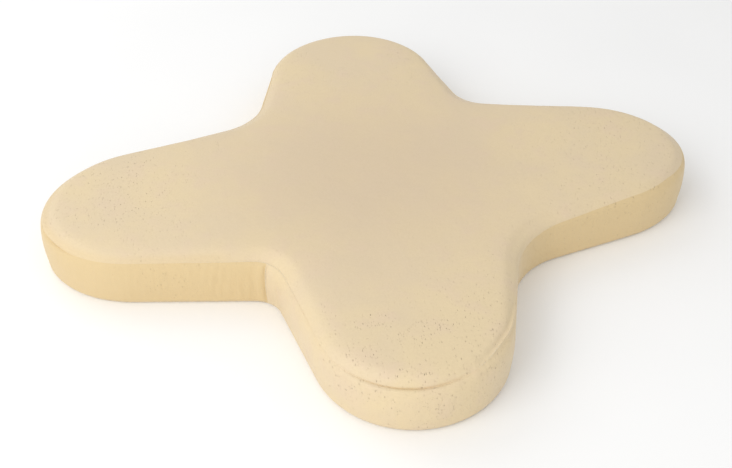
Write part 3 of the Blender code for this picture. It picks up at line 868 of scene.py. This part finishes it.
def cover_material(name, side_yellow=None):
    """Cream synthetic leather: fine grain, scattered pits and soft blotches, with painted shade darkening
    the dished middle of the top. The side is yellower.
    """
    looks = Looks(name)
    place = looks.place()
    blotches = looks.noise(place, 14, 4, 0.55)
    patches = looks.noise(place, 45, 3, 0.5)
    grain = looks.noise(place, 700, 3, 0.6)
    cells = looks.cells(place, 420, feature="SMOOTH_F1")
    marks = looks.noise(looks.place(SIDE_MARKS if side_yellow else TOP_MARKS), 230, 2, 0.5)
    marks_depth = (0.7 if side_yellow else 0.4) * MM
    large_pits, fine_pits = cover_pits(looks, place, patches)

    colour = looks.mixed(looks.remap(blotches, 0.35, 0.65), CREAM, CREAM_WARM)
    colour = looks.mixed(looks.remap(patches, 0.45, 0.75, 0.0, 0.5), colour, CREAM_PINK)
    # Painted shade: the middle of the top is darkened in the colour, standing in for the shade of its dish
    colour = looks.mixed(looks.remap(looks.from_middle(), *MIDDLE_PAINTED_SHADE, 0.7, 0.0), colour, CREAM_PAINTED_SHADE)
    colour = looks.mixed(cover_yellow(looks, place, side_yellow), colour, CREAM_SIDE)
    colour = looks.mixed(looks.remap(grain, 0.35, 0.7, 0.0, 0.12), colour, CREAM_DARK)
    colour = looks.mixed(looks.maths("MULTIPLY", large_pits, 0.16), colour, PIT)
    colour = looks.mixed(looks.maths("MULTIPLY", fine_pits, 0.1), colour, PIT)

    normal = looks.bump(grain, 0.10 * MM, 0.5)
    normal = looks.bump(cells, 0.20 * MM, 0.5, normal)
    normal = looks.bump(marks, marks_depth, 0.6, normal)
    normal = looks.bump(patches, 1.2 * MM, 0.5, normal)
    normal = looks.bump(looks.maths("SUBTRACT", 1.0, large_pits), 0.65 * MM, 1.0, normal)
    normal = looks.bump(looks.maths("SUBTRACT", 1.0, fine_pits), 0.3 * MM, 1.0, normal)
    roughness = looks.remap(blotches, 0.3, 0.7, 0.52, 0.64)
    return looks.finish(Base_Color=colour, Roughness=roughness, Normal=normal, IOR=1.45,
                        Specular_IOR_Level=0.35, Sheen_Weight=0.12, Sheen_Roughness=0.5)


def thread_material():
    """Twisted sewing thread, with fibres and a slight change of shade along it."""
    looks = Looks("cream_thread")
    place = looks.place()
    fibres = looks.noise(place, 2600, 2)
    shade = looks.noise(place, 60, 2)
    colour = looks.mixed(looks.remap(fibres, 0.35, 0.7), THREAD_LIGHT, THREAD_DARK)
    colour = looks.mixed(looks.remap(shade, 0.4, 0.6, 0.0, 0.3), colour, CREAM_WARM)
    normal = looks.bump(fibres, 0.15 * MM, 0.7)
    return looks.finish(Base_Color=colour, Roughness=0.6, Normal=normal, Sheen_Weight=0.3)


def tape_material():
    """Woven tape, with ribs along its length and a soft bloom."""
    looks = Looks("woven_tape")
    place = looks.place()
    ribs = looks.stripes(place, 320.0, 0.6, "Z")
    picks = looks.stripes(place, 300.0, 1.0, "DIAGONAL")
    weave = looks.maths("MULTIPLY", ribs, picks)
    fuzz = looks.noise(place, 1500, 3)
    colour = looks.mixed(looks.remap(weave, 0.1, 0.8), TAPE_DARK, TAPE_LIGHT)
    colour = looks.mixed(looks.remap(fuzz, 0.4, 0.7, 0.0, 0.35), colour, CREAM_WARM)
    normal = looks.bump(fuzz, 0.1 * MM, 0.5, looks.bump(weave, 0.25 * MM, 0.8))
    return looks.finish(Base_Color=colour, Roughness=0.85, Normal=normal, Sheen_Weight=0.25)


def nylon_material():
    """Drawn nylon, smooth and slightly cloudy."""
    looks = Looks("nylon_coil")
    drawn = looks.noise(looks.place(), 700, 2)
    colour = looks.mixed(looks.remap(drawn, 0.35, 0.65), NYLON_LIGHT, NYLON_DARK)
    roughness = looks.remap(drawn, 0.3, 0.7, 0.28, 0.42)
    normal = looks.bump(drawn, 0.05 * MM, 0.5)
    return looks.finish(Base_Color=colour, Roughness=roughness, Normal=normal, Subsurface_Weight=0.1,
                        Subsurface_Scale=1 * MM)


def metal_material():
    """Plated zinc: finely brushed, duller in patches and bright on worn edges."""
    looks = Looks("plated_metal")
    place = looks.place()
    brushed = looks.noise(looks.place((1, 1, 12)), 600, 3)
    tarnish = looks.noise(place, 160, 3, 0.5)
    wear = looks.node("ShaderNodeNewGeometry", "Pointiness", {})
    scuffs = looks.noise(place, 1400, 2)
    edges = looks.maths("MULTIPLY", looks.remap(wear, 0.505, 0.56), looks.remap(scuffs, 0.35, 0.6))
    colour = looks.mixed(looks.remap(tarnish, 0.4, 0.7), METAL_BRIGHT, METAL_DULL)
    colour = looks.mixed(edges, colour, METAL_WORN)
    roughness = looks.remap(tarnish, 0.35, 0.7, 0.24, 0.34)
    normal = looks.bump(brushed, 0.02 * MM, 0.4, looks.bump(scuffs, 0.01 * MM, 0.4))
    return looks.finish(Base_Color=colour, Roughness=roughness, Metallic=1.0, Normal=normal)


def foam_material(name, light, dark, scale):
    """Open-cell foam: round pores of two sizes and a dusty surface."""
    looks = Looks(name)
    place = looks.place()
    pores = looks.remap(looks.cells(place, scale), 0.15, 0.45)
    fine = looks.remap(looks.cells(place, scale * 2.3), 0.1, 0.5)
    tint = looks.noise(place, 20, 3)
    colour = looks.mixed(looks.maths("MULTIPLY", pores, fine), dark, light)
    colour = looks.mixed(looks.remap(tint, 0.4, 0.7, 0.0, 0.3), colour, dark)
    normal = looks.bump(fine, 0.3 * MM, 0.7, looks.bump(pores, 0.8 * MM, 0.9))
    return looks.finish(Base_Color=colour, Roughness=0.9, Normal=normal, Subsurface_Weight=0.05,
                        Subsurface_Scale=2 * MM)


def floor_material():
    """A plain pale floor, with a barely visible change of tone."""
    looks = Looks("pale_floor")
    tone = looks.noise(looks.place(), 3, 2)
    colour = looks.mixed(looks.remap(tone, 0.3, 0.7), FLOOR_LIGHT, FLOOR_SHADE)
    return looks.finish(Base_Color=colour, Roughness=0.7)


# Build

def dress(obj, slot, *nodes, fill=None, body="cushion"):
    """Sets a finished piece on its body, in place of the CAD nodes that it stands for."""
    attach(obj, body)
    if nodes:
        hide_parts(*nodes)


def build_cover(lift):
    leather = cover_material("cream_leather")
    long_leather = cover_material("cream_leather_long_side", RIGHT_YELLOW)
    side_leather = cover_material("cream_leather_short_side", LEFT_YELLOW)
    thread = thread_material()
    dress(top_panel(lift, leather), "cover", "cover_top", fill=0.9)
    dress(bottom_panel(leather), "cover", "cover_bottom", fill=0.9)
    zip_right, zip_left = ZIP_PLACES
    long_side = side_piece("side_near_right", JOIN_PLACE - PERIMETER, zip_right, lift, long_leather)
    short_side = side_piece("side_left", zip_left, JOIN_PLACE, lift, side_leather)
    dress(long_side, "cover", "band_near_right", fill=0.9)
    dress(short_side, "cover", "band_left", fill=0.9)
    low_edge = ZIP_HEIGHT - ZIP_OPENING / 2
    high_edge = ZIP_HEIGHT + ZIP_OPENING / 2
    lower = side_piece("hem_strip_lower", zip_right, zip_left, lift, side_leather, high=low_edge)
    upper = side_piece("hem_strip_upper", zip_right, zip_left, lift, side_leather, low=high_edge)
    dress(lower, "cover", "zip_strip_lower", fill=0.9)
    dress(upper, "cover", "zip_strip_upper", fill=0.9)
    dress(top_seam(lift, thread), "thread", "seam_top")
    dress(bottom_seam(thread), "thread", "seam_bottom")
    seams = (("left_near", JOIN_PLACE), ("zip_right", zip_right), ("zip_left", zip_left))
    for name, place in seams:
        dress(upright_seam(f"stitching_{name}", place, lift, thread), "thread", f"seam_{name}")


def build_zip():
    tape = tape_material()
    nylon = nylon_material()
    for name, side in (("upper", 1), ("lower", -1)):
        dress(zip_tape(f"tape_{name}", side, tape), "zip_tape", f"zip_tape_{name}")
        dress(zip_coil(f"coil_{name}", side, nylon), "zip_teeth", f"zip_teeth_{name}")
    metal = metal_material()
    for name in METAL_PARTS:
        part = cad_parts[name]
        part.data.materials.clear()
        part.data.materials.append(metal)
        soften(part, METAL_EDGE)


def build_foam():
    firm = foam_material("firm_foam", FIRM_LIGHT, FIRM_DARK, 700)
    soft = foam_material("soft_foam", SOFT_LIGHT, SOFT_DARK, 480)
    lower = foam_block("foam_block_firm", FOAM_BOTTOM, FOAM_JOIN, firm)
    upper = foam_block("foam_block_soft", FOAM_JOIN + FOAM_GAP, FOAM_SHOULDER, soft)
    dress(lower, "foam_firm", "foam_support_layer", fill=1.0)
    dress(upper, "foam_soft", "foam_comfort_layer", fill=1.0)


def seen_from(azimuth, elevation):
    """The direction back towards a viewer. Azimuth 0 is in front and 90 on the right."""
    a, e = math.radians(azimuth), math.radians(elevation)
    return Vector((math.sin(a) * math.cos(e), -math.cos(a) * math.cos(e), math.sin(e)))


def aimed(name, data, azimuth, elevation, distance, target=(0, 0, 0)):
    """A light or camera that looks at a target."""
    obj = bpy.data.objects.new(name, data)
    bpy.context.scene.collection.objects.link(obj)
    back = seen_from(azimuth, elevation)
    obj.location = Vector(target) + back * distance
    obj.rotation_euler = back.to_track_quat("Z", "Y").to_euler()
    return obj


def build_stage():
    corners = ((-1, -1), (1, -1), (1, 1), (-1, 1))
    vertices = [(x * FLOOR_REACH, y * FLOOR_REACH, -FLOOR_DROP) for x, y in corners]
    floor = new_object("floor", vertices, [(0, 1, 2, 3)], floor_material())
    scene = bpy.context.scene
    scene.world = bpy.data.worlds.new("studio")
    scene.world.use_nodes = True
    background = scene.world.node_tree.nodes["Background"]
    background.inputs["Color"].default_value = (1, 1, 1, 1)
    background.inputs["Strength"].default_value = WORLD_STRENGTH
    for name, azimuth, elevation, distance, size, power in LIGHTS:
        data = bpy.data.lights.new(name, "AREA")
        data.size = size
        data.energy = power
        aimed(name, data, azimuth, elevation, distance)


def build_camera():
    data = bpy.data.cameras.new("camera")
    data.sensor_width = CAMERA_SENSOR
    data.lens = CAMERA_LENS
    camera = aimed("camera", data, CAMERA_AZIMUTH, CAMERA_ELEVATION, CAMERA_DISTANCE, CAMERA_TARGET)
    bpy.context.scene.camera = camera


swollen = swollen_cover()
cover_lift = swelling(swollen)
build_cover(cover_lift)
build_foam()
build_zip()
build_stage()
build_camera()
bpy.context.scene.view_settings.view_transform = "Standard"
bpy.context.view_layer.update()
